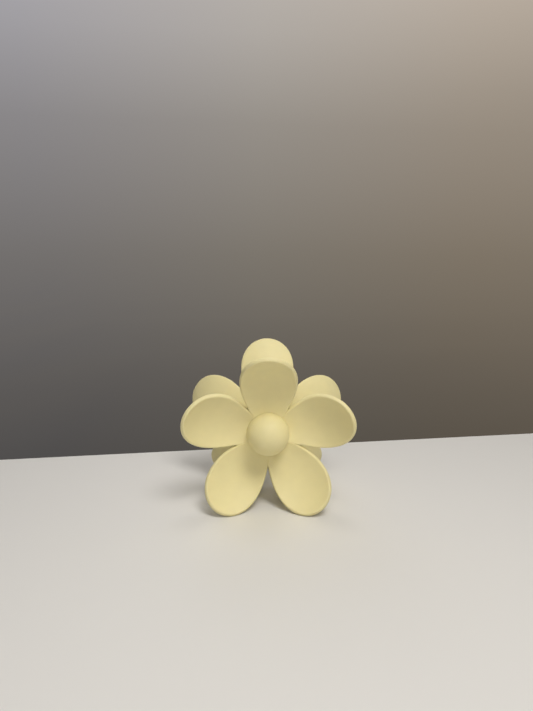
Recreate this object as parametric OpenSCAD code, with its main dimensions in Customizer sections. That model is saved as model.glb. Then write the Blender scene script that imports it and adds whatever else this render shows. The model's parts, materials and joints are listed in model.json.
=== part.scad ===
// Flower hair clip: two cupped five-petal flowers hinged back to back.
// +X is to the right, the front flower faces -Y and +Z is up.
// The origin is on the table, under the middle of the clip.

/* [Petals] */
// Distance from the flower's axis to a petal's tip
petal_length = 39; // [37:0.5:41]
// Widest part of a petal
petal_width = 25.5; // [23:0.5:26.5]
// Radius of the spherical dish that cups a petal
dish_radius = 28.4; // [27.4:0.2:30]
// Distance from the flower's axis to the lowest point of a dish
dish_offset = 13.3; // [12:0.1:14]
// Thickness of a petal
petal_wall = 2; // [1.6:0.1:2.2]

/* [Jaws] */
// Distance between the backs of the two flowers, where they are closest
flower_gap = 16; // [15.6:0.1:17]
// Lean of each flower, its top petal away from the other flower
jaw_tilt = 1.3; // [0:0.1:2]
// Thickness of the round floor under the button
floor_t = 1.4; // [1.2:0.1:1.5]
// Diameter of the boss behind that floor
boss_d = 8; // [7:0.5:9]
// Height of the boss
boss_h = 1; // [0.8:0.1:1.2]

/* [Button] */
// Diameter of the domed button in the flower's centre
button_d = 18.9; // [17.5:0.1:19.3]
// Height of the straight skirt under the dome
skirt_h = 4.8; // [4:0.1:5.2]
// Height of the button's axis above the hinge pin
button_rise = 1.2; // [0:0.1:1.5]
// Depth of the round seat that the button stands in
seat_depth = 2.6; // [2.4:0.1:2.8]
// Wall of the hollow button
button_wall = 1.6; // [1.2:0.1:2]
// Diameter of the peg that holds the button in the boss
peg_d = 4; // [3:0.5:5]

/* [Hinge] */
// Diameter of the hinge pin
pin_d = 2; // [1.8:0.1:2.2]
// Outer diameter of a hinge knuckle
knuckle_d = 6.4; // [6:0.2:7]
// Length of a hinge knuckle along the pin
knuckle_w = 2.8; // [2.4:0.1:2.8]
// Gap between two neighbouring knuckles
knuckle_gap = 0.3; // [0.3:0.05:0.4]
// Half the room between the inner knuckles, for the spring
spring_room = 3; // [2.9:0.1:3.2]

/* [Teeth] */
// Radius of the round space that the closed teeth surround
grip_r = 10.5; // [10:0.1:11]
// Depth of that space's centre below the pin
grip_drop = 15; // [14.5:0.1:15.5]
// Thickness of a tooth
tooth_w = 2.6; // [2.2:0.1:2.8]
// Distance between two neighbouring teeth of one jaw
tooth_pitch = 8; // [7.6:0.1:8]
// Distance of the innermost tooth from the middle of the clip
tooth_first = 5.5; // [5.2:0.1:5.8]
// How far a tooth's tip reaches past the middle of the clip
tooth_reach = 4.2; // [3:0.1:4.5]

/* [Spring] */
// Diameter of the spring wire
wire_d = 0.9; // [0.7:0.1:0.9]
// Mean diameter of the coil
coil_d = 5.8; // [5:0.1:6]
// Number of whole turns, with a half turn added
coil_turns = 4; // [3:1:4]
// Height of the spring's legs above the pin
leg_h = 9.5; // [8:0.5:10]

/* [Hidden] */
$fn = 96;

petal_angles = [90, 162, 234, 306, 18];
half_sector = 36;
// Neighbouring petals run this far into each other, so that they join
sector_overlap = 0.4;
outline_steps = 44;
// The outline's pointed end lies this far past the flower's axis
outline_start = -0.8;
// Largest value of sin(a)^2 * cos(a)
outline_peak = 2 / (3 * sqrt(3));

// Depths are measured from the middle plane of the clip, between the flowers
jaw_half = flower_gap / 2;
back_radius = dish_radius + petal_wall;
dish_depth = jaw_half + back_radius;
seat_at = jaw_half + petal_wall - seat_depth;
floor_depth = seat_at - floor_t;
boss_depth = floor_depth - boss_h;
extrude_h = 40;

// A petal's tip is cut square to its surface by a ball on the flower's axis
tip_run = petal_length - dish_offset;
tip_drop = sqrt(pow(back_radius, 2) - pow(tip_run, 2));
trim_radius = petal_length * back_radius / tip_drop;
trim_depth = dish_depth - tip_drop - trim_radius * tip_run / back_radius;

// The petals start just outside the button, and a shallow cup joins them behind it
seat_r = button_d / 2 + 0.15;
cup_r = seat_r + 1;
cup_top = jaw_half + petal_wall * 0.7;
button_in_r = button_d / 2 - button_wall;
peg_below = seat_at - boss_depth;
peg_h = peg_below + skirt_h + button_in_r + button_wall / 2;

press_bore_r = pin_d / 2;
running_bore_r = pin_d / 2 + 0.05;
// Height of the web that carries a knuckle
web_h = 5.2;
inner_knuckle_x = spring_room;
outer_knuckle_x = spring_room + knuckle_w + knuckle_gap;
pin_length = 2 * (outer_knuckle_x + knuckle_w);

teeth_right = 3;
teeth_left = 2;
// Circle that bounds the outer edge of a tooth, and the height of the tooth's root
tooth_out_r = 13.6;
tooth_out_y = -3;
tooth_out_z = -grip_drop + 0.5;
tooth_top = -17.5;

coil_r = coil_d / 2;
coil_half = spring_room - wire_d / 2 - 0.15;
coil_angle = 360 * coil_turns + 180;
// How far a leg leans out from the coil to its jaw
leg_lean = 2.5;
ring_sides = 8;
steps_per_turn = 18;
coil_steps = steps_per_turn * coil_turns + steps_per_turn / 2;

cream = [0.87, 0.82, 0.60];
steel = [0.72, 0.73, 0.75];

// Teardrop outline of one petal: distance along the petal and half width there
function along(a) = outline_start + (petal_length - outline_start) * pow(sin(a), 2);
function across(a) = petal_width / 2 / outline_peak * pow(sin(a), 2) * cos(a);

// The angle at which the outline meets the line between two petals
function notch_angle(lo = 5, hi = 54, n = 24) =
    let (mid = (lo + hi) / 2)
    n == 0 ? mid
    : across(mid) > tan(half_sector + sector_overlap) * along(mid) ? notch_angle(mid, hi, n - 1)
    : notch_angle(lo, mid, n - 1);

notch_a = notch_angle();
outline = [
    for (i = [0:outline_steps])
        let (a = notch_a + (180 - 2 * notch_a) * i / outline_steps)
        [along(a), across(a)]
];

// Depth of a petal's front edge, on its cupped face or on the ball that trims its tip
function edge_depth(p) =
    let (face = dish_depth - sqrt(max(0, pow(dish_radius, 2) - pow(p[0] - dish_offset, 2) - pow(p[1], 2))))
    let (trim = trim_depth + sqrt(pow(trim_radius, 2) - pow(norm(p), 2)))
    min(face, trim);

// The lowest point of the two lower petals puts the pin this high above the table
pin_z = -min([
    for (p = outline)
        let (up = p[0] * sin(306) + p[1] * cos(306))
        up * cos(jaw_tilt) - edge_depth(p) * sin(jaw_tilt)
]);

// Lays a drawing in X and Z, and thickens it towards -Y
module toward_front(h) {
    rotate([90, 0, 0]) linear_extrude(height = h) children();
}

// Lays a drawing in Y and Z, centred on x
module slab_at(x, w) {
    translate([x - w / 2, 0, 0]) rotate([90, 0, 90]) linear_extrude(height = w) children();
}

module petal_sector(angle) {
    difference() {
        rotate(angle) polygon(concat([[0, 0]], outline));
        translate([0, button_rise]) circle(seat_r);
    }
}

module dish_ball(angle, r) {
    translate([dish_offset * cos(angle), -dish_depth, dish_offset * sin(angle)]) sphere(r);
}

module petal(angle) {
    intersection() {
        toward_front(extrude_h) petal_sector(angle);
        difference() {
            dish_ball(angle, back_radius);
            dish_ball(angle, dish_radius);
        }
        translate([0, -trim_depth, 0]) sphere(trim_radius);
    }
}

module tooth_outline() {
    difference() {
        intersection() {
            translate([tooth_out_y, tooth_out_z]) circle(tooth_out_r);
            translate([-20, -40]) square([20 + tooth_reach, 40 + tooth_top]);
        }
        translate([0, -grip_drop]) circle(grip_r);
    }
}

// One curved tooth, rooted in the back of the petal at the given angle
module tooth(x, angle) {
    difference() {
        slab_at(x, tooth_w) tooth_outline();
        dish_ball(angle, dish_radius + petal_wall / 2);
    }
}

// The left teeth sit half a pitch further out, so that the turned rear jaw's teeth fit between
module teeth() {
    for (i = [0:teeth_right - 1]) tooth(tooth_first + i * tooth_pitch, 306);
    for (i = [0:teeth_left - 1]) tooth(-tooth_first - (i + 0.5) * tooth_pitch, 234);
}

module knuckle(x) {
    slab_at(x + knuckle_w / 2, knuckle_w) {
        circle(d = knuckle_d);
        translate([-floor_depth - floor_t / 2, -web_h / 2]) square([floor_depth + floor_t / 2, web_h]);
    }
}

// Round floor and low wall that carry the button
module cup() {
    translate([0, -floor_depth, button_rise]) {
        toward_front(floor_t) circle(cup_r);
        toward_front(cup_top - floor_depth) difference() {
            circle(cup_r);
            circle(seat_r);
        }
    }
}

// One flower with its pin on the X axis, the same moulding for both sides
module jaw(bore_r) {
    difference() {
        union() {
            for (angle = petal_angles) petal(angle);
            cup();
            translate([0, -boss_depth, button_rise]) toward_front(boss_h + floor_t / 2) circle(d = boss_d);
            knuckle(inner_knuckle_x);
            knuckle(-outer_knuckle_x - knuckle_w);
            teeth();
        }
        toward_front(extrude_h) translate([0, button_rise]) circle(d = peg_d);
        rotate([0, 90, 0]) cylinder(r = bore_r, h = 2 * pin_length, center = true);
    }
}

// Hollow dome with a skirt and a peg, standing on z = 0
module button() {
    rotate_extrude() {
        difference() {
            union() {
                square([button_d / 2, skirt_h]);
                intersection() {
                    translate([0, skirt_h]) circle(d = button_d);
                    translate([0, skirt_h]) square(button_d);
                }
            }
            square([button_in_r, skirt_h]);
            intersection() {
                translate([0, skirt_h]) circle(button_in_r);
                translate([0, skirt_h]) square(button_d);
            }
        }
        translate([0, -peg_below]) square([peg_d / 2, peg_h]);
    }
}

// Puts a front part in its place on the clip
module front_side() {
    translate([0, 0, pin_z]) rotate([jaw_tilt, 0, 0]) children();
}

// The rear side is the front side after half a turn
module rear_side() {
    rotate(180) front_side() children();
}

module seated_button() {
    translate([0, -seat_at, button_rise]) rotate([90, 0, 0]) button();
}

module front_jaw() {
    color(cream) front_side() jaw(running_bore_r);
}

module rear_jaw() {
    color(cream) rear_side() jaw(press_bore_r);
}

module front_button() {
    color(cream) front_side() seated_button();
}

module rear_button() {
    color(cream) rear_side() seated_button();
}

module hinge_pin() {
    color(steel) translate([0, 0, pin_z]) rotate([0, 90, 0])
        cylinder(d = pin_d, h = pin_length, center = true);
}

// Centre line of the spring: down one leg, round the coil and up the other leg
spring_path = concat(
    [for (f = [1, 0.5]) [-coil_half, coil_r + leg_lean * f, leg_h * f]],
    [
        for (i = [0:coil_steps])
            let (a = -coil_angle * i / coil_steps)
            [coil_half * (2 * i / coil_steps - 1), coil_r * cos(a), coil_r * sin(a)]
    ],
    [for (f = [0.5, 1]) [coil_half, -coil_r - leg_lean * f, leg_h * f]]
);

function unit(v) = v / norm(v);
function path_direction(i) =
    unit(spring_path[min(i + 1, len(spring_path) - 1)] - spring_path[max(i - 1, 0)]);

// A round ring of points across the wire at one point of its centre line
function wire_ring(i) =
    let (t = path_direction(i))
    let (u = unit([1, 0, 0] - t[0] * t))
    let (v = cross(t, u))
    [
        for (k = [0:ring_sides - 1])
            let (a = 360 * k / ring_sides)
            spring_path[i] + wire_d / 2 * (u * cos(a) + v * sin(a))
    ];

module torsion_spring() {
    rings = len(spring_path);
    points = [for (i = [0:rings - 1]) each wire_ring(i)];
    sides = [
        for (i = [0:rings - 2], k = [0:ring_sides - 1])
            let (n = (k + 1) % ring_sides)
            [i * ring_sides + k, (i + 1) * ring_sides + k, (i + 1) * ring_sides + n, i * ring_sides + n]
    ];
    first_end = [for (k = [0:ring_sides - 1]) k];
    last_end = [for (k = [ring_sides - 1:-1:0]) (rings - 1) * ring_sides + k];
    color(steel) translate([0, 0, pin_z])
        polyhedron(points, concat(sides, [first_end], [last_end]), convexity = 8);
}

front_jaw();
rear_jaw();
front_button();
rear_button();
hinge_pin();
torsion_spring();
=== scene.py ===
"""Looks of the flower hair clip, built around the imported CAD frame.

Every part is drawn in the jaw frame, in millimetres: the hinge pin is the X axis, the flower
faces -Y and +Z is up. place() then puts it on the clip. A petal has its own frame too: r along
the petal from the flower's axis, s across it, and d, the depth in front of the clip's middle plane.
"""
import json
import math
from contextlib import contextmanager

import bmesh
import bpy
import numpy as np
from mathutils import Matrix, Vector


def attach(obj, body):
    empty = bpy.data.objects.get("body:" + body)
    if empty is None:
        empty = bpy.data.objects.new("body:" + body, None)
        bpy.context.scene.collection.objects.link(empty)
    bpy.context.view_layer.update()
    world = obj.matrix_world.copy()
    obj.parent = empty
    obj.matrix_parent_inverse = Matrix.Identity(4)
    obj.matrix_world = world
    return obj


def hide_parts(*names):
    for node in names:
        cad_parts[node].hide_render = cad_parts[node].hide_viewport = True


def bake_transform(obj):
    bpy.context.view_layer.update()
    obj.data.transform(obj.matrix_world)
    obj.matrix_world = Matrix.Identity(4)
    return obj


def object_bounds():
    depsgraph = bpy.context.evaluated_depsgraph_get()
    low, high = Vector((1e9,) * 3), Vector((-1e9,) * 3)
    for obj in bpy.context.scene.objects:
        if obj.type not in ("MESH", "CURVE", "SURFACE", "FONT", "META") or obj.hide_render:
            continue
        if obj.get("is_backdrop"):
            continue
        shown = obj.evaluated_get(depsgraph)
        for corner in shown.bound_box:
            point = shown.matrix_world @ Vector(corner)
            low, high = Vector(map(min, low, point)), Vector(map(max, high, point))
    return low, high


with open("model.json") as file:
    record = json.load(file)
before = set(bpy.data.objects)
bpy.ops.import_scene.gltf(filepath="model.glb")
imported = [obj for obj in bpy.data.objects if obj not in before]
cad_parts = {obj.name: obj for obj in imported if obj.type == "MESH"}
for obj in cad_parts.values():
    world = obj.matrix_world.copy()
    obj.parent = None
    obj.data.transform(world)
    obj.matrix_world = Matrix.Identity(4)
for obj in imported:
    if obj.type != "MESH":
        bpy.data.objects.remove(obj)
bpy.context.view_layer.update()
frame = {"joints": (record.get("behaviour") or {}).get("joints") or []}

MM = 0.001
PIN = Vector(frame["joints"][0]["pos_m"])
# Each jaw is turned this much about the pin, its top outwards
JAW_TILT = math.radians(1.3)
# The petals' backs keep this far from the clip's middle plane
JAW_HALF = 8.0

# Petals, each a shell between two balls about one centre
PETAL_ANGLES = (90, 162, 234, 306, 18)
PETAL_LENGTH = 39.15
PETAL_WIDTH = 25.9
PETAL_WALL = 2.0
OUTLINE_START = -0.8
HALF_SECTOR = math.radians(36)
ROOT_RADIUS = 6.0
DISH_OFFSET = 13.3
FACE_RADIUS = 28.4
BACK_RADIUS = FACE_RADIUS + PETAL_WALL
DISH_DEPTH = JAW_HALF + BACK_RADIUS
DISH_CENTRE = np.array([DISH_OFFSET, 0, DISH_DEPTH])
# Radius of the rim's fillets, the most of the rim's wall that one takes, and the width set aside for it
RIM_FILLET = 0.65
FILLET_SHARE = 0.45
RIM_MARGIN = 0.85
# The fillet behind the rim grows from almost nothing over this distance from the notch between petals
FILLET_GROWTH = 3.0
FILLET_POWER = 0.7
LEAST_FILLET = 1e-3
# The seam between two petals: its slant and its groove grow from these shares at the root to 1 at the notch
SEAM_SLANT = 0.15
GROOVE_DEPTH = 0.1
GROOVE_RISE = 0.12
# The side petals are this much fuller towards the top, from a place along the petal outwards
RIGHT_PETAL = 18
LEFT_PETAL = 162
SIDE_FULLNESS = 0.055
FULLNESS_START = 14.0
FULLNESS_RUN = 8.0

# Mesh density of round parts and of a petal, and the point along it where its rings of faces end
CIRCLE_STEPS = 128
SECTOR_STEPS = 14
OUTLINE_STEPS = 96
CHORD_STEPS = 6
ARC_STEPS = 5
RINGS = 13
RING_SPACING = 0.9
PETAL_POLE = 22.0

# Centre of the flower
SEAT_RADIUS = 9.52
SEAT_FLOOR = 7.4
CUP_RADIUS = 10.6
CUP_TOP = 9.4
FLOOR_BACK = SEAT_FLOOR - 1.4
BOSS_RADIUS = 4.0
BOSS_BACK = FLOOR_BACK - 1.0
PEG_RADIUS = 2.0
PEG_CLEARANCE = 0.02
# Material left round the seat and on its floor until the seat is cut out
SEAT_SPARE = 0.3
FLOOR_SPARE = 0.05
# The seat and the peg's hole are cut from here, in front of the whole flower
CUT_FRONT = 20.0

# Button, whose axis is a little above the pin
BUTTON_RADIUS = 9.45
BUTTON_SKIRT = 4.8
BUTTON_EDGE = 0.35
BUTTON_RISE = 1.2

# Hinge
KNUCKLE_RADIUS = 3.2
KNUCKLE_WIDTH = 2.8
KNUCKLE_GAP = 0.3
KNUCKLE_BEVEL = 0.35
BORE_RADIUS = 1.05
BORE_LEAD = 0.15
WEB_HALF = 2.6
WEB_END = -6.7
SPRING_ROOM = 3.0
PIN_RADIUS = 1.0
PIN_HALF = SPRING_ROOM + 2 * KNUCKLE_WIDTH + KNUCKLE_GAP
KNUCKLE_STARTS = (SPRING_ROOM, -PIN_HALF)

# Teeth: the x of each, and the angle of the petal that carries it. The left ones sit half a pitch
# further out, so that the teeth of the turned rear jaw fit between
TOOTH_PITCH = 8.0
TOOTH_FIRST = 5.5
TEETH = [(TOOTH_FIRST + k * TOOTH_PITCH, 306) for k in range(3)]
TEETH += [(-TOOTH_FIRST - (k + 0.5) * TOOTH_PITCH, 234) for k in range(2)]
# A tooth lies between two round bounds, and is swept about the centre of the inner one
GRIP_CENTRE = np.array([0, 0, -15.0])
GRIP_RADIUS = 10.5
TOOTH_OUTER_CENTRE = np.array([0, -3.0, -14.5])
TOOTH_OUTER_RADIUS = 13.6
TOOTH_HALF = 1.3
# Radius of its long edges, and the most of its depth or width that they take
TOOTH_CORNER = 0.5
CORNER_SHARE = 0.8
TOOTH_ROOT = math.radians(-74)
TOOTH_TIP = math.radians(23)
# How deep a tooth starts inside the petal, how deep its inner side lies there, and its flare outside
TOOTH_SINK = 1.0
ROOT_SINK = 0.6
TOOTH_FLARE = 0.55
FLARE_REACH = 0.9
# Shares of a tooth's length: its root, where its taper starts, and its round tip
ROOT_SHARE = 0.16
TAPER_START = 0.45
TIP_SHARE = 0.045
TOOTH_TAPER = 0.22
TIP_POWER = 2.2
TIP_LEAST = 0.012
TOOTH_STATIONS = 46
TOOTH_SIDE_STEPS = 12
TOOTH_CORNER_STEPS = 4

# Spring
WIRE_RADIUS = 0.45
WIRE_SIDES = 14
COIL_RADIUS = 2.9
COIL_HALF = 2.4
COIL_TURNS = 4.5
STEPS_PER_TURN = 40
LEG_HEIGHT = 9.5
LEG_LEAN = 2.5
LEG_BOW = 0.3
# Share of the leg's height at which the wire runs into the coil
LEG_END = 0.06
LEG_STEPS = 14


# ---------------------------------------------------------------- mesh tools

def new_object(name, verts, faces):
    mesh = bpy.data.meshes.new(name)
    mesh.from_pydata([tuple(v) for v in verts], [], [tuple(f) for f in faces])
    mesh.validate()
    obj = bpy.data.objects.new(name, mesh)
    bpy.context.scene.collection.objects.link(obj)
    return obj


@contextmanager
def edited(obj):
    """Opens an object's mesh for editing, and turns its faces outwards at the end."""
    bm = bmesh.new()
    bm.from_mesh(obj.data)
    yield bm
    bmesh.ops.recalc_face_normals(bm, faces=bm.faces)
    bm.to_mesh(obj.data)
    bm.free()


def weld(obj, distance=1e-4):
    """Joins the points of a mesh that lie together."""
    with edited(obj) as bm:
        bmesh.ops.remove_doubles(bm, verts=bm.verts, dist=distance)
    return obj


def fill_and_split(obj):
    """Closes open holes, and splits every face of more than four corners into triangles."""
    with edited(obj) as bm:
        bmesh.ops.holes_fill(bm, edges=[e for e in bm.edges if e.is_boundary], sides=0)
        bmesh.ops.triangulate(bm, faces=[f for f in bm.faces if len(f.verts) > 4])
    return obj


def grid_faces(rows, columns, close_rows=False, close_columns=False):
    """Quads of a grid whose vertex number is row * columns + column."""
    faces = []
    for i in range(rows if close_rows else rows - 1):
        for j in range(columns if close_columns else columns - 1):
            i2, j2 = (i + 1) % rows, (j + 1) % columns
            faces.append((i * columns + j, i2 * columns + j, i2 * columns + j2, i * columns + j2))
    return faces


def tube(name, rings, distance=1e-4):
    """Closed skin over rings with equal numbers of points, with a cap on each end."""
    count = len(rings[0])
    faces = grid_faces(len(rings), count, close_columns=True)
    faces.append(tuple(range(count)))
    faces.append(tuple((len(rings) - 1) * count + k for k in range(count)))
    return weld(new_object(name, np.concatenate(rings), faces), distance)


def lathe(name, profile, segments=CIRCLE_STEPS):
    """Turns a profile of (radius, depth) points, from axis to axis, around the flower's axis."""
    inner = [p for p in profile if p[0] > 1e-6]
    verts = []
    for k in range(segments):
        a = 2 * math.pi * k / segments
        verts += [(r * math.cos(a), -d, r * math.sin(a)) for r, d in inner]
    faces = grid_faces(segments, len(inner), close_rows=True)
    for end, column in ((profile[0], 0), (profile[-1], len(inner) - 1)):
        verts.append((0, -end[1], 0))
        hub = len(verts) - 1
        for k in range(segments):
            k2 = (k + 1) % segments
            faces.append((k * len(inner) + column, k2 * len(inner) + column, hub))
    return weld(new_object(name, verts, faces))


def cylinder(name, radius, low, high, segments=CIRCLE_STEPS):
    return lathe(name, [(0, low), (radius, low), (radius, high), (0, high)], segments)


def corner_arc(start, corner, end, steps):
    """Points on the round arc that is tangent to both legs of a corner."""
    start, corner, end = (np.asarray(p, float) for p in (start, corner, end))
    u = (start - corner) / np.linalg.norm(start - corner, axis=-1, keepdims=True)
    v = (end - corner) / np.linalg.norm(end - corner, axis=-1, keepdims=True)
    weight = np.sqrt(np.clip((1 - (u * v).sum(-1, keepdims=True)) / 2, 0, 1))
    points = []
    for k in range(steps + 1):
        q = k / steps
        top = (1 - q) ** 2 * start + 2 * weight * q * (1 - q) * corner + q ** 2 * end
        points.append(top / ((1 - q) ** 2 + 2 * weight * q * (1 - q) + q ** 2))
    return points


def round_path(points, radii, steps=5):
    """A 2D path whose inner corners are rounded with arcs of the given radii."""
    out = [points[0]]
    for k in range(1, len(points) - 1):
        before, corner, after = (np.array(points[i], float) for i in (k - 1, k, k + 1))
        if radii[k - 1] <= 0:
            out.append(tuple(corner))
            continue
        u = (before - corner) / np.linalg.norm(before - corner)
        v = (after - corner) / np.linalg.norm(after - corner)
        half = math.acos(np.clip(u @ v, -1, 1)) / 2
        reach = radii[k - 1] / math.tan(half)
        out += [tuple(p) for p in corner_arc(corner + reach * u, corner, corner + reach * v, steps)]
    return out + [points[-1]]


def combine(target, tool, operation):
    """Joins the tool to the target, or cuts it away, and removes the tool."""
    modifier = target.modifiers.new("combine", "BOOLEAN")
    modifier.object = tool
    modifier.operation = operation
    modifier.solver = "MANIFOLD"
    bpy.context.view_layer.update()
    dg = bpy.context.evaluated_depsgraph_get()
    mesh = bpy.data.meshes.new_from_object(target.evaluated_get(dg))
    target.modifiers.clear()
    old = target.data
    target.data = mesh
    bpy.data.meshes.remove(old)
    bpy.data.objects.remove(tool)


def smooth(obj, angle=32):
    obj.data.shade_smooth()
    obj.data.set_sharp_from_angle(angle=math.radians(angle))
    return obj


def copy_of(obj):
    twin = obj.copy()
    twin.data = obj.data.copy()
    bpy.context.scene.collection.objects.link(twin)
    return twin


def raised(obj):
    """Lifts a round part from the pin's height to the button's axis."""
    obj.data.transform(Matrix.Translation((0, 0, BUTTON_RISE)))
    return obj


def place(obj, rear):
    """Moves a piece drawn in the jaw frame to its place on the front or the rear of the clip."""
    turn = Matrix.Rotation(math.pi, 4, "Z") if rear else Matrix.Identity(4)
    lift = Matrix.Translation((0, 0, PIN.z))
    tilt = Matrix.Rotation(JAW_TILT, 4, "X")
    obj.data.transform(turn @ lift @ tilt @ Matrix.Scale(MM, 4))
    return obj


def place_at_pin(obj):
    """Moves a piece drawn about the pin to its place on the clip."""
    obj.data.transform(Matrix.Translation(PIN) @ Matrix.Scale(MM, 4))
    return obj


# ---------------------------------------------------------------- petals

def outline_point(a):
    """Teardrop outline of a petal: distance along it and half width there."""
    along = OUTLINE_START + (PETAL_LENGTH - OUTLINE_START) * np.sin(a) ** 2
    # Largest value of sin(a)^2 * cos(a)
    peak = 2 / (3 * math.sqrt(3))
    across = PETAL_WIDTH / 2 / peak * np.sin(a) ** 2 * np.cos(a)
    return along, across


def notch_angle():
    """The angle at which the outline meets the line between two petals."""
    low, high = 0.1, 0.95
    for _ in range(60):
        mid = (low + high) / 2
        along, across = outline_point(mid)
        low, high = (mid, high) if across > math.tan(HALF_SECTOR) * along else (low, mid)
    return low


def dish_depth(r, s, radius):
    return DISH_DEPTH - np.sqrt(radius ** 2 - (r - DISH_OFFSET) ** 2 - s ** 2)


def on_dish(r, s, radius):
    return np.stack([r, s, dish_depth(r, s, radius)], -1)


def petal_boundary():
    """The petal's edge on its back, from the root along one sector line, round the outline and back.

    share is 1 round the free outline and falls to 0 at the root, where the petals run into one.
    """
    notch = notch_angle()
    r, s = outline_point(np.linspace(notch, math.pi - notch, OUTLINE_STEPS + 1))
    notch_r = math.hypot(r[0], s[0])
    rho = np.linspace(ROOT_RADIUS, notch_r, SECTOR_STEPS + 1)[:-1]
    near_r = rho * math.cos(HALF_SECTOR)
    near_s = rho * math.sin(HALF_SECTOR)
    share = np.clip((rho - SEAT_RADIUS) / (notch_r - SEAT_RADIUS), 0, 1)
    r = np.concatenate([near_r, r, near_r[::-1]])
    s = np.concatenate([near_s, s, -near_s[::-1]])
    share = np.concatenate([share, np.ones(OUTLINE_STEPS + 1), share[::-1]])
    return r, s, share


def distance_from_notch(points, free):
    """Distance of each free edge point from the nearer notch, along the edge."""
    step = np.linalg.norm(np.diff(points, axis=0), axis=1)
    along = np.concatenate([[0], np.cumsum(step)])
    first, last = np.where(free)[0][[0, -1]]
    return np.clip(np.minimum(along - along[first], along[last] - along), 0, None)


def inward(corner, outward, distance, radius):
    """Edge points moved a distance into the petal, on a ball of the given radius."""
    away = corner - distance * outward - DISH_CENTRE
    return DISH_CENTRE + radius * away / np.linalg.norm(away, axis=1, keepdims=True)


def edge_outward(edge):
    """At each point of the back's edge, the direction away from the petal."""
    tangent = np.gradient(edge, axis=0)
    tangent /= np.linalg.norm(tangent, axis=1, keepdims=True)
    return np.cross(tangent, (edge - DISH_CENTRE) / BACK_RADIUS)


def rim_wall(r, s, share):
    """Where the rim's wall starts at the face, and where it ends: at the back, or in the seam's groove."""
    back_edge = on_dish(r, s, BACK_RADIUS)
    free_front = DISH_CENTRE + FACE_RADIUS * ((back_edge - DISH_CENTRE) / BACK_RADIUS)
    seam_front = on_dish(r, s, FACE_RADIUS)
    slant = SEAM_SLANT + (1 - SEAM_SLANT) * share ** 2
    front = np.where(share >= 1, free_front, seam_front + slant * (free_front - seam_front))
    front[:, 2] = dish_depth(front[:, 0], front[:, 1], FACE_RADIUS)
    groove = GROOVE_DEPTH + GROOVE_RISE * share + (1 - GROOVE_DEPTH - GROOVE_RISE) * share ** 9
    return front, np.where(share >= 1, back_edge, seam_front + groove * (back_edge - seam_front))


def rim_columns(r, s, share):
    """Columns of points across the rim, from the face to the back, and the edge of the back."""
    back_edge = on_dish(r, s, BACK_RADIUS)
    outward = edge_outward(back_edge)
    from_notch = distance_from_notch(back_edge, share >= 1)[:, None]
    free = share[:, None] >= 1
    front_corner, wall_end = rim_wall(r, s, share[:, None])
    wall = np.linalg.norm(wall_end - front_corner, axis=1, keepdims=True)

    front_margin = inward(front_corner, outward, RIM_MARGIN, FACE_RADIUS)
    front_fillet = np.minimum(RIM_FILLET, FILLET_SHARE * wall)
    toward_face = front_corner + (front_margin - front_corner) * front_fillet / RIM_MARGIN
    down_wall = front_corner + (wall_end - front_corner) * front_fillet / wall
    columns = [front_margin] + corner_arc(toward_face, front_corner, down_wall, ARC_STEPS)

    back_margin = inward(wall_end, outward, RIM_MARGIN, BACK_RADIUS)
    growth = np.clip(from_notch / FILLET_GROWTH, 0, 1) ** FILLET_POWER
    back_fillet = np.maximum(RIM_FILLET * growth, LEAST_FILLET)
    up_wall = wall_end + (front_corner - wall_end) * back_fillet / wall
    toward_back = wall_end + (back_margin - wall_end) * back_fillet / RIM_MARGIN
    for k, points in enumerate(corner_arc(up_wall, wall_end, toward_back, ARC_STEPS)):
        level = down_wall + (wall_end - down_wall) * (k + 1) / (ARC_STEPS + 1)
        columns.append(np.where(free, points, level if k < ARC_STEPS else wall_end))
    return columns, np.where(free, columns[-1], back_edge)


def dish_patch(edge, radius):
    """Vertices and faces of rings that shrink from an edge to the petal's pole, on a ball."""
    f = np.linspace(0, 1, CHORD_STEPS + 1)[1:-1, None]
    chord = edge[-1] + f * (edge[0] - edge[-1])
    loop = np.concatenate([edge, chord])
    points = [loop]
    for k in range(1, RINGS):
        q = (1 - k / RINGS) ** RING_SPACING
        r = PETAL_POLE + q * (loop[:, 0] - PETAL_POLE)
        points.append(on_dish(r, q * loop[:, 1], radius))
    points.append(on_dish(np.array([PETAL_POLE]), np.zeros(1), radius))
    count = len(loop)
    pole = RINGS * count
    faces = grid_faces(RINGS, count, close_columns=True)
    faces += [(pole - count + j, pole - count + (j + 1) % count, pole) for j in range(count)]
    return np.concatenate(points), faces


def fuller(local, upper):
    """Widens the half of a petal where upper * s is positive."""
    across = np.clip(upper * local[:, 1] / (PETAL_WIDTH / 2), 0, 1)
    along = np.clip((local[:, 0] - FULLNESS_START) / FULLNESS_RUN, 0, 1)
    local[:, 1] *= 1 + SIDE_FULLNESS * across * along


def petal(angle):
    """Vertices and faces of one petal: cupped face, rounded rim and back."""
    columns, back_start = rim_columns(*petal_boundary())
    verts = np.stack(columns, 1).reshape(-1, 3)
    faces = grid_faces(len(back_start), len(columns))
    for edge, radius in ((columns[0], FACE_RADIUS), (back_start, BACK_RADIUS)):
        patch, patch_faces = dish_patch(edge, radius)
        faces += [tuple(len(verts) + k for k in face) for face in patch_faces]
        verts = np.concatenate([verts, patch])
    if angle == RIGHT_PETAL:
        fuller(verts, 1)
    if angle == LEFT_PETAL:
        fuller(verts, -1)
    c = math.cos(math.radians(angle))
    n = math.sin(math.radians(angle))
    x = verts[:, 0] * c - verts[:, 1] * n
    z = verts[:, 0] * n + verts[:, 1] * c
    return np.stack([x, -verts[:, 2], z], 1), faces


def flower():
    """Five petals welded along the sector lines, with the middle closed."""
    verts, faces = [], []
    for angle in PETAL_ANGLES:
        v, f = petal(angle)
        faces += [tuple(len(verts) + k for k in face) for face in f]
        verts += list(v)
    return fill_and_split(weld(new_object("flower", verts, faces), 2e-3))


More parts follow.
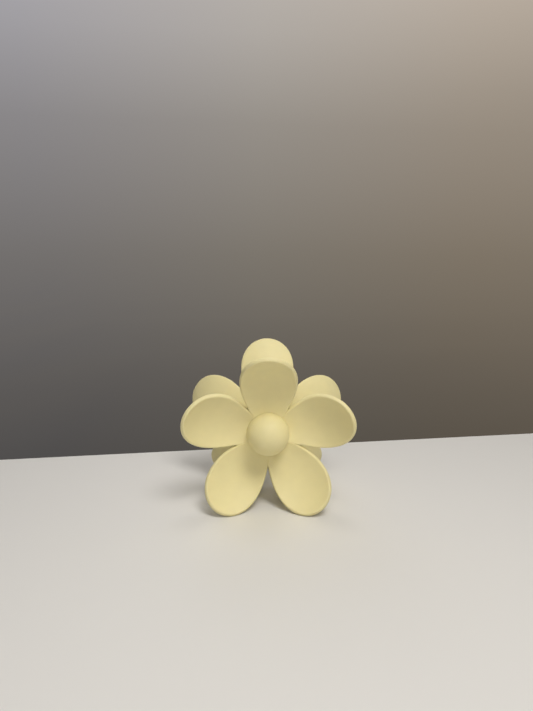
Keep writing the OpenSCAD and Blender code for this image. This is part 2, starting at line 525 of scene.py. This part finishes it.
# ---------------------------------------------------------------- cup, knuckles and teeth

def cup():
    """Shallow cup under the button, with the boss behind it."""
    bore = SEAT_RADIUS - SEAT_SPARE
    floor = SEAT_FLOOR + FLOOR_SPARE
    path = [(0, BOSS_BACK), (BOSS_RADIUS, BOSS_BACK), (BOSS_RADIUS, FLOOR_BACK), (CUP_RADIUS, FLOOR_BACK),
            (CUP_RADIUS, CUP_TOP), (bore, CUP_TOP), (bore, floor), (0, floor)]
    corner_radii = [0.4, 0.5, 0.6, 0, 0, 0]
    return lathe("cup", round_path(path, corner_radii))


def knuckle_outline():
    """A ring about the pin that runs into a web towards the boss, as (y, z) points."""
    meet = math.pi - math.asin(WEB_HALF / KNUCKLE_RADIUS)
    ring = [(KNUCKLE_RADIUS * math.cos(a), KNUCKLE_RADIUS * math.sin(a))
            for a in np.linspace(-meet, meet, 57)]
    start = ring[-1][0]
    steps = np.linspace(0, 1, 9)
    upper = [(start + (WEB_END - start) * f, WEB_HALF) for f in steps[1:]]
    end = [(WEB_END, WEB_HALF * (1 - 2 * f)) for f in steps[1:-1]]
    return np.array(ring + upper + end + [(y, -z) for y, z in upper[::-1]])


def knuckle(x_start):
    """Hinge knuckle: a bored ring with bevelled edges and its web."""
    outline = knuckle_outline()
    bore = outline / np.linalg.norm(outline, axis=1, keepdims=True)
    tangent = np.roll(outline, -1, 0) - np.roll(outline, 1, 0)
    normal = np.stack([tangent[:, 1], -tangent[:, 0]], 1)
    normal /= np.linalg.norm(normal, axis=1, keepdims=True)
    half = KNUCKLE_WIDTH / 2
    profile = [(bore * BORE_RADIUS, half - BORE_LEAD), (bore * (BORE_RADIUS + BORE_LEAD), half)]
    for a in np.linspace(0, math.pi / 2, 5):
        shrink = KNUCKLE_BEVEL * (1 - math.sin(a))
        profile.append((outline - normal * shrink, half - KNUCKLE_BEVEL * (1 - math.cos(a))))
    profile += [(p, -h) for p, h in profile[::-1]]
    middle = x_start + half
    rows = [np.stack([np.full(len(p), middle + h), p[:, 0], p[:, 1]], 1) for p, h in profile]
    faces = grid_faces(len(rows), len(outline), close_rows=True, close_columns=True)
    return weld(new_object("knuckle", np.concatenate(rows), faces))


def ray_entry(start, ray, centre, radius):
    """Distance along a ray at which it enters a ball, or infinity."""
    to = centre - start
    along = to @ ray
    rest = radius ** 2 - to @ to + along ** 2
    return along - math.sqrt(rest) if rest > 0 and along > 0 else math.inf


def tooth_outline(reach, half):
    """Rounded cross-section of a tooth: points along the sweep's ray and across the tooth."""
    corner = min(TOOTH_CORNER, CORNER_SHARE * reach, CORNER_SHARE * half)
    flat = reach - corner
    turn = [(flat + corner * math.sin(a), half - corner * (1 - math.cos(a)))
            for a in np.linspace(0, math.pi / 2, TOOTH_CORNER_STEPS + 1)[1:]]
    side = [(q * flat, half) for q in np.linspace(-1, 1, TOOTH_SIDE_STEPS + 1)]
    upper = [(-p, w) for p, w in turn[::-1]] + side + turn
    return upper + [(p, -w) for p, w in upper[::-1]]


def tooth_size(start, ray, dish, f):
    """Middle, half depth and half width of a tooth, at the fraction f of its sweep."""
    to_outer = TOOTH_OUTER_CENTRE - GRIP_CENTRE
    along = to_outer @ ray
    outer = along + math.sqrt(TOOTH_OUTER_RADIUS ** 2 - to_outer @ to_outer + along ** 2)

    # Near its root the tooth's inner side keeps to the petal's back
    back = min(ray_entry(start, ray, dish, BACK_RADIUS - ROOT_SINK), outer)
    inner = GRIP_RADIUS + max(0, 1 - f / ROOT_SHARE) ** 2 * max(back - GRIP_RADIUS, 0)
    into_tip = max(0, 1 - (1 - f) / TIP_SHARE)
    tip = math.sqrt(max(1 - into_tip ** TIP_POWER, TIP_LEAST))
    taper = 1 - TOOTH_TAPER * max(0, (f - TAPER_START) / (1 - TAPER_START))
    return (inner + outer) / 2, (outer - inner) / 2 * tip, TOOTH_HALF * taper * tip


def tooth_ring(x_mid, dish, f):
    """Points round a tooth, at the fraction f of its sweep from the root to the tip."""
    theta = TOOTH_ROOT + (TOOTH_TIP - TOOTH_ROOT) * f
    ray = np.array([0, math.sin(theta), -math.cos(theta)])
    middle, reach, half = tooth_size(GRIP_CENTRE + np.array([x_mid, 0, 0]), ray, dish, f)
    ring = []
    for p, w in tooth_outline(reach, half):
        start = GRIP_CENTRE + np.array([x_mid + w, 0, 0])
        sink = ray_entry(start, ray, dish, BACK_RADIUS - TOOTH_SINK)
        span = min(sink - middle + reach, 2 * reach)
        point = start + ray * (middle - reach + span * (p + reach) / (2 * reach))
        gap = np.linalg.norm(point - dish) - BACK_RADIUS
        flare = TOOTH_FLARE * max(0, 1 - max(gap, 0) / FLARE_REACH) ** 2
        point[0] += math.copysign(flare * min(1, abs(w) / half), w)
        ring.append(point)
    return np.array(ring)


def tooth(x_mid, petal_angle):
    """Curved tooth that leaves the petal's back as a rib and reaches under the other jaw."""
    turn = math.radians(petal_angle)
    dish = np.array([DISH_OFFSET * math.cos(turn), -DISH_DEPTH, DISH_OFFSET * math.sin(turn)])
    rings = [tooth_ring(x_mid, dish, f) for f in np.linspace(0, 1, TOOTH_STATIONS + 1)]
    return fill_and_split(tube("tooth", rings, 1e-5))


def jaw_mesh():
    """The whole moulding in the jaw frame."""
    jaw = flower()
    combine(jaw, raised(cup()), "UNION")
    for x_start in KNUCKLE_STARTS:
        combine(jaw, knuckle(x_start), "UNION")
    for x_mid, petal_angle in TEETH:
        combine(jaw, tooth(x_mid, petal_angle), "UNION")
    combine(jaw, raised(cylinder("seat", SEAT_RADIUS, SEAT_FLOOR, CUT_FRONT)), "DIFFERENCE")
    peg_hole = cylinder("peg_hole", PEG_RADIUS + PEG_CLEARANCE, 0, CUT_FRONT, 48)
    combine(jaw, raised(peg_hole), "DIFFERENCE")
    return smooth(jaw)


# ---------------------------------------------------------------- button, pin and spring

def button_mesh():
    """Domed cap with a short skirt, a small rounded foot and its peg."""
    peg_edge = 0.25
    path = [(0, BOSS_BACK), (PEG_RADIUS - peg_edge, BOSS_BACK), (PEG_RADIUS, BOSS_BACK + peg_edge),
            (PEG_RADIUS, SEAT_FLOOR), (BUTTON_RADIUS - BUTTON_EDGE, SEAT_FLOOR)]
    for a in np.linspace(0, math.pi / 2, 6)[1:]:
        path.append((BUTTON_RADIUS - BUTTON_EDGE * (1 - math.sin(a)),
                     SEAT_FLOOR + BUTTON_EDGE * (1 - math.cos(a))))
    top = SEAT_FLOOR + BUTTON_SKIRT
    for a in np.linspace(0, math.pi / 2, 41)[:-1]:
        path.append((BUTTON_RADIUS * math.cos(a), top + BUTTON_RADIUS * math.sin(a)))
    path.append((0, top + BUTTON_RADIUS))
    return smooth(raised(lathe("button", path)))


def pin_mesh():
    """Steel pin with slightly domed, chamfered ends."""
    end = [(PIN_HALF - 0.3, PIN_RADIUS), (PIN_HALF - 0.12, PIN_RADIUS - 0.08),
           (PIN_HALF - 0.03, PIN_RADIUS - 0.3), (PIN_HALF, PIN_RADIUS - 0.7)]
    middle = [(-SPRING_ROOM, PIN_RADIUS), (SPRING_ROOM, PIN_RADIUS)]
    a = np.linspace(0, 2 * math.pi, 40, endpoint=False)
    rings = [np.stack([np.full(len(a), x), r * np.cos(a), r * np.sin(a)], 1)
             for x, r in [(-x, r) for x, r in end[::-1]] + middle + end]
    return smooth(tube("hinge_pin_steel", rings), 40)


def spring_leg(side):
    """A leg's centre line from its free end to the coil, slightly bowed."""
    points = []
    for f in np.linspace(1, LEG_END, LEG_STEPS):
        bow = LEG_BOW * math.sin(math.pi * f) * f
        points.append((side * COIL_HALF, -side * (COIL_RADIUS + LEG_LEAN * f + bow), LEG_HEIGHT * f))
    return points


def spring_path():
    """Centre line of the wire: down the rear leg, round the coil and up the front leg."""
    steps = int(COIL_TURNS * STEPS_PER_TURN)
    coil = []
    for k in range(steps + 1):
        a = -2 * math.pi * COIL_TURNS * k / steps
        coil.append((COIL_HALF * (2 * k / steps - 1), COIL_RADIUS * math.cos(a), COIL_RADIUS * math.sin(a)))
    return np.array(spring_leg(-1) + coil + spring_leg(1)[::-1])


def spring_mesh():
    """Round wire swept along the spring's centre line, with rounded cut ends."""
    path = spring_path()
    tangent = np.gradient(path, axis=0)
    tangent /= np.linalg.norm(tangent, axis=1, keepdims=True)
    side = np.array([1.0, 0, 0]) - tangent[:, :1] * tangent
    side /= np.linalg.norm(side, axis=1, keepdims=True)
    other = np.cross(tangent, side)
    turn = np.linspace(0, 2 * math.pi, WIRE_SIDES, endpoint=False)[:, None]

    def ring(k, shift=0.0, scale=1.0):
        around = side[k] * np.cos(turn) + other[k] * np.sin(turn)
        return path[k] + tangent[k] * shift + WIRE_RADIUS * scale * around

    # How far each ring of a rounded end lies beyond the path, and its share of the wire's radius
    end = [(0.25, 0.55), (0.1625, 0.85), (0.0625, 0.98)]
    last = len(path) - 1
    rings = [ring(0, -shift, scale) for shift, scale in end]
    rings += [ring(k) for k in range(len(path))]
    rings += [ring(last, shift, scale) for shift, scale in end[::-1]]
    return smooth(tube("torsion_spring_wire", rings, 1e-5), 50)


# ---------------------------------------------------------------- materials

def linear(value):
    """Linear light from one 8-bit display value."""
    v = value / 255
    return v / 12.92 if v <= 0.04045 else ((v + 0.055) / 1.055) ** 2.4


def srgb(r, g, b):
    return (linear(r), linear(g), linear(b), 1)


def shaded(colour, factor):
    return tuple(min(c * factor, 1) for c in colour[:3]) + (1,)


def new_material(name):
    material = bpy.data.materials.new(name)
    material.use_nodes = True
    tree = material.node_tree
    return material, tree.nodes, tree.links, tree.nodes["Principled BSDF"]


def noise(nodes, links, coords, scale, detail, roughness=0.5):
    node = nodes.new("ShaderNodeTexNoise")
    node.inputs["Scale"].default_value = scale
    node.inputs["Detail"].default_value = detail
    node.inputs["Roughness"].default_value = roughness
    links.new(coords.outputs["Object"], node.inputs["Vector"])
    return node


def ramp(nodes, links, source, low, high):
    """A value between low and high that follows a noise."""
    node = nodes.new("ShaderNodeMapRange")
    node.inputs["To Min"].default_value = low
    node.inputs["To Max"].default_value = high
    links.new(source.outputs["Fac"], node.inputs["Value"])
    return node.outputs["Result"]


def blended(nodes, links, source, low, high):
    """A colour between low and high that follows a noise."""
    node = nodes.new("ShaderNodeMix")
    node.data_type = "RGBA"
    node.inputs["A"].default_value = low
    node.inputs["B"].default_value = high
    links.new(source.outputs["Fac"], node.inputs["Factor"])
    return node.outputs["Result"]


def bump(nodes, links, source, strength, distance):
    node = nodes.new("ShaderNodeBump")
    node.inputs["Strength"].default_value = strength
    node.inputs["Distance"].default_value = distance
    links.new(source.outputs["Fac"], node.inputs["Height"])
    return node


def soft_plastic(name, base, seed):
    """Matte soft-touch plastic: faint mottle, fine grain and a slow ripple of the moulded skin."""
    material, nodes, links, shader = new_material(name)
    coords = nodes.new("ShaderNodeTexCoord")
    mottle = noise(nodes, links, coords, 260 + seed, 3)
    links.new(blended(nodes, links, mottle, shaded(base, 0.965), shaded(base, 1.035)),
              shader.inputs["Base Color"])
    patch = noise(nodes, links, coords, 900 + seed, 2)
    links.new(ramp(nodes, links, patch, 0.50, 0.62), shader.inputs["Roughness"])
    grain = bump(nodes, links, noise(nodes, links, coords, 5200, 2, 0.6), 0.12, 0.00004)
    ripple = bump(nodes, links, noise(nodes, links, coords, 140, 1), 0.25, 0.0001)
    links.new(ripple.outputs["Normal"], grain.inputs["Normal"])
    links.new(grain.outputs["Normal"], shader.inputs["Normal"])
    shader.inputs["Specular IOR Level"].default_value = 0.4
    shader.inputs["Subsurface Weight"].default_value = 0.08
    shader.inputs["Subsurface Radius"].default_value = (1.0, 0.8, 0.4)
    shader.inputs["Subsurface Scale"].default_value = 0.0012
    shader.inputs["Sheen Weight"].default_value = 0.08
    shader.inputs["Sheen Roughness"].default_value = 0.5
    return material


def drawn_steel(name, base, rough):
    """Drawn wire: fine lines along X, slight tarnish."""
    material, nodes, links, shader = new_material(name)
    coords = nodes.new("ShaderNodeTexCoord")
    tarnish = noise(nodes, links, coords, 700, 3)
    links.new(blended(nodes, links, tarnish, shaded(base, 0.85), base), shader.inputs["Base Color"])
    links.new(ramp(nodes, links, tarnish, rough, rough + 0.16), shader.inputs["Roughness"])
    stretch = nodes.new("ShaderNodeMapping")
    stretch.inputs["Scale"].default_value = (400, 9000, 9000)
    links.new(coords.outputs["Object"], stretch.inputs["Vector"])
    lines = nodes.new("ShaderNodeTexNoise")
    lines.inputs["Scale"].default_value = 1
    links.new(stretch.outputs["Vector"], lines.inputs["Vector"])
    scratches = bump(nodes, links, lines, 0.2, 0.00002)
    links.new(scratches.outputs["Normal"], shader.inputs["Normal"])
    shader.inputs["Metallic"].default_value = 1
    return material


def painted(name, layer):
    """Matt, unlit backdrop that glows with the painted light and shade stored on its mesh."""
    material, nodes, links, shader = new_material(name)
    colour = nodes.new("ShaderNodeAttribute")
    colour.attribute_name = layer
    links.new(colour.outputs["Color"], shader.inputs["Emission Color"])
    shader.inputs["Emission Strength"].default_value = 1
    shader.inputs["Base Color"].default_value = (0, 0, 0, 1)
    shader.inputs["Specular IOR Level"].default_value = 0
    return material


def plain(name, base, rough):
    """Smooth painted board with a faint cloudiness."""
    material, nodes, links, shader = new_material(name)
    coords = nodes.new("ShaderNodeTexCoord")
    cloud = noise(nodes, links, coords, 9, 2)
    links.new(blended(nodes, links, cloud, shaded(base, 0.98), base), shader.inputs["Base Color"])
    shader.inputs["Roughness"].default_value = rough
    return material


# ---------------------------------------------------------------- pieces

CREAM = srgb(238, 227, 171)
cream = soft_plastic("cream_soft_touch", CREAM, 0)
cream_button = soft_plastic("cream_button", CREAM, 37)
pin_steel = drawn_steel("pin_steel", (0.62, 0.62, 0.63, 1), 0.24)
spring_steel = drawn_steel("spring_steel", (0.5, 0.5, 0.51, 1), 0.3)


def add_piece(obj, name, material, body, node):
    """Names a finished piece, gives it its material, hides the CAD node that it stands for and puts it on
    its body. The spring has no body of its own.
    """
    obj.name = name
    obj.data.materials.clear()
    obj.data.materials.append(material)
    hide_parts(node)
    if body:
        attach(obj, body)
    return obj


front_jaw = jaw_mesh()
rear_jaw = copy_of(front_jaw)
front_button = button_mesh()
rear_button = copy_of(front_button)
add_piece(place(front_jaw, False), "front_flower", cream, "front", "front_jaw")
add_piece(place(rear_jaw, True), "rear_flower", cream, "rear", "rear_jaw")
add_piece(place(front_button, False), "front_dome", cream_button, "front", "front_button")
add_piece(place(rear_button, True), "rear_dome", cream_button, "rear", "rear_button")
add_piece(place_at_pin(pin_mesh()), "hinge_pin_steel", pin_steel, "rear", "hinge_pin")
spring = add_piece(place_at_pin(spring_mesh()), "torsion_spring_wire", spring_steel, None,
                   "torsion_spring")
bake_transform(spring)


# ---------------------------------------------------------------- table and backdrop, in metres

TABLE_SIDE = 2.0
TABLE_FRONT = -1.6
SHEET_DEPTH = 0.9
SHEET_BEND = 0.4
SHEET_HEIGHT = 2.2
# The table's far edge crosses the clip's middle line here, and is turned this much
TABLE_EDGE_Y = 0.063
TABLE_EDGE_TURN = math.radians(7.3)
TABLE_Z = min(p[2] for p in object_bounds())

# Painted shade of the glowing backdrop by height in degrees above the eye: darker low down, lighter high
# up.
# A cool painted light tints its left side and a warm one its right side, fully from TINT_ANGLE degrees
# outwards
EYE = Vector((0, -0.239, 0.119))
PAINTED_SHADE_BY_HEIGHT = ((-22, srgb(84, 80, 74)), (-14, srgb(98, 93, 86)), (-1, srgb(124, 118, 109)),
          (12, srgb(150, 144, 137)), (22, srgb(182, 176, 170)))
COOL_LIGHT_TINT = np.array((0.85, 0.89, 1.02))
WARM_LIGHT_TINT = np.array((1.04, 0.97, 0.88))
TINT_ANGLE = 22


def beyond_edge(along, run):
    """Place that lies a way along the table's far edge, and a run behind it."""
    return along * math.cos(TABLE_EDGE_TURN), TABLE_EDGE_Y + along * math.sin(TABLE_EDGE_TURN) + run


def painted_backdrop_light(point):
    """Painted light and shade of the glowing backdrop at a point, by the direction in which it is seen."""
    seen = Vector(point) - EYE
    lift = math.degrees(math.atan2(seen.z, math.hypot(seen.x, seen.y)))
    aside = np.clip(math.degrees(math.atan2(seen.x, seen.y)) / TINT_ANGLE, -1, 1)
    heights = [height for height, _ in PAINTED_SHADE_BY_HEIGHT]
    shade = np.array([np.interp(lift, heights, [colour[i] for _, colour in PAINTED_SHADE_BY_HEIGHT]) for i in range(3)])
    tint = 1 + abs(aside) * ((COOL_LIGHT_TINT if aside < 0 else WARM_LIGHT_TINT) - 1)
    return [*(shade * tint), 1.0]


def add_table():
    """Flat table whose far edge runs a little askew."""
    corners = [(-TABLE_SIDE, TABLE_FRONT), (TABLE_SIDE, TABLE_FRONT),
               beyond_edge(TABLE_SIDE, 0), beyond_edge(-TABLE_SIDE, 0)]
    table = new_object("floor", [(x, y, TABLE_Z) for x, y in corners], [(0, 1, 2, 3)])
    table.data.materials.append(plain("floor_white", srgb(229, 228, 224), 0.55))
    table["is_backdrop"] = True


def add_backdrop():
    """Sheet that starts at the table's far edge, runs back, sweeps up and then stands."""
    path = [(run, TABLE_Z) for run in (0.0, 0.05, 0.15, 0.3, 0.6, SHEET_DEPTH)]
    for a in np.linspace(0.1, math.pi / 2, 14):
        path.append((SHEET_DEPTH + SHEET_BEND * math.sin(a), SHEET_BEND * (1 - math.cos(a))))
    path += [(SHEET_DEPTH + SHEET_BEND, z) for z in np.linspace(SHEET_BEND + 0.05, SHEET_HEIGHT, 16)]
    columns = np.linspace(-TABLE_SIDE, TABLE_SIDE, 33)
    points = [(*beyond_edge(k, run), height) for run, height in path for k in columns]
    backdrop = new_object("backdrop", points, grid_faces(len(path), len(columns)))
    # The sheet glows with painted light and shade stored on its points: darker low down, lighter high up,
    # cool on the left and warm on the right
    layer = backdrop.data.attributes.new("shade", "FLOAT_COLOR", "POINT")
    layer.data.foreach_set("color", [c for point in points for c in painted_backdrop_light(point)])
    backdrop.data.materials.append(painted("backdrop_glow_painted_light", "shade"))
    backdrop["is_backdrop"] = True


add_table()
add_backdrop()


# ---------------------------------------------------------------- light and camera

# Round lights, all aimed near the clip's middle: name, place, diameter, power and colour
LIGHT_AIM = Vector((0, 0, 0.035))
LIGHTS = (
    ("key", (0.175, -0.33, 0.625), 0.26, 2.25, (1, 0.965, 0.935)),
    ("front_soft", (0.03, -0.25, 0.69), 0.3, 0.8, (1, 0.99, 0.95)),
    ("overhead", (0.03, 0.1, 0.68), 0.2, 0.45, (1, 0.97, 0.93)),
    ("rear_soft", (-0.2, 0.6, 0.42), 0.4, 0.35, (1, 0.97, 0.93)),
    ("low_soft", (0, -0.606, 0.385), 0.35, 0.85, (1, 0.93, 0.88)),
)
AMBIENT = (0.9, 0.93, 1, 1)
AMBIENT_STRENGTH = 0.05

# The camera looks slightly down at the clip, and a little from the left. Angles in radians, lengths in mm
CAMERA_PITCH = 0.2057
CAMERA_ROLL = 0.0052
CAMERA_YAW = 0.0193
CAMERA_DISTANCE = 244.05
CAMERA_AIM = Vector((-0.698, 0, 34.48))
CAMERA_LENS = 27.04


def add_light(name, place_at, diameter, power, colour):
    lamp = bpy.data.lights.new(name, "AREA")
    lamp.shape = "DISK"
    lamp.size = diameter
    lamp.energy = power
    lamp.color = colour
    light = bpy.data.objects.new(name, lamp)
    bpy.context.scene.collection.objects.link(light)
    light.location = place_at
    light.rotation_euler = (LIGHT_AIM - Vector(place_at)).to_track_quat("-Z", "Y").to_euler()


def add_world():
    """Faint, slightly blue light from all around."""
    world = bpy.data.worlds.new("studio")
    bpy.context.scene.world = world
    world.use_nodes = True
    background = world.node_tree.nodes["Background"]
    background.inputs["Color"].default_value = AMBIENT
    background.inputs["Strength"].default_value = AMBIENT_STRENGTH


def add_camera():
    forward = Vector((0, math.cos(CAMERA_PITCH), -math.sin(CAMERA_PITCH)))
    level_up = Vector((0, math.sin(CAMERA_PITCH), math.cos(CAMERA_PITCH)))
    level_right = Vector((1, 0, 0))
    right = math.cos(CAMERA_ROLL) * level_right + math.sin(CAMERA_ROLL) * level_up
    up = -math.sin(CAMERA_ROLL) * level_right + math.cos(CAMERA_ROLL) * level_up
    axes = Matrix((right, up, -forward)).transposed().to_4x4()
    eye = PIN + MM * (CAMERA_AIM - CAMERA_DISTANCE * forward)
    lens = bpy.data.cameras.new("camera")
    lens.sensor_width = 36
    lens.lens = CAMERA_LENS
    lens.clip_start = 0.01
    lens.clip_end = 20
    camera = bpy.data.objects.new("camera", lens)
    bpy.context.scene.collection.objects.link(camera)
    camera.matrix_world = Matrix.Rotation(-CAMERA_YAW, 4, "Z") @ Matrix.Translation(eye) @ axes
    bpy.context.scene.camera = camera


for light in LIGHTS:
    add_light(*light)
add_world()
add_camera()
bpy.context.scene.view_settings.view_transform = "Standard"
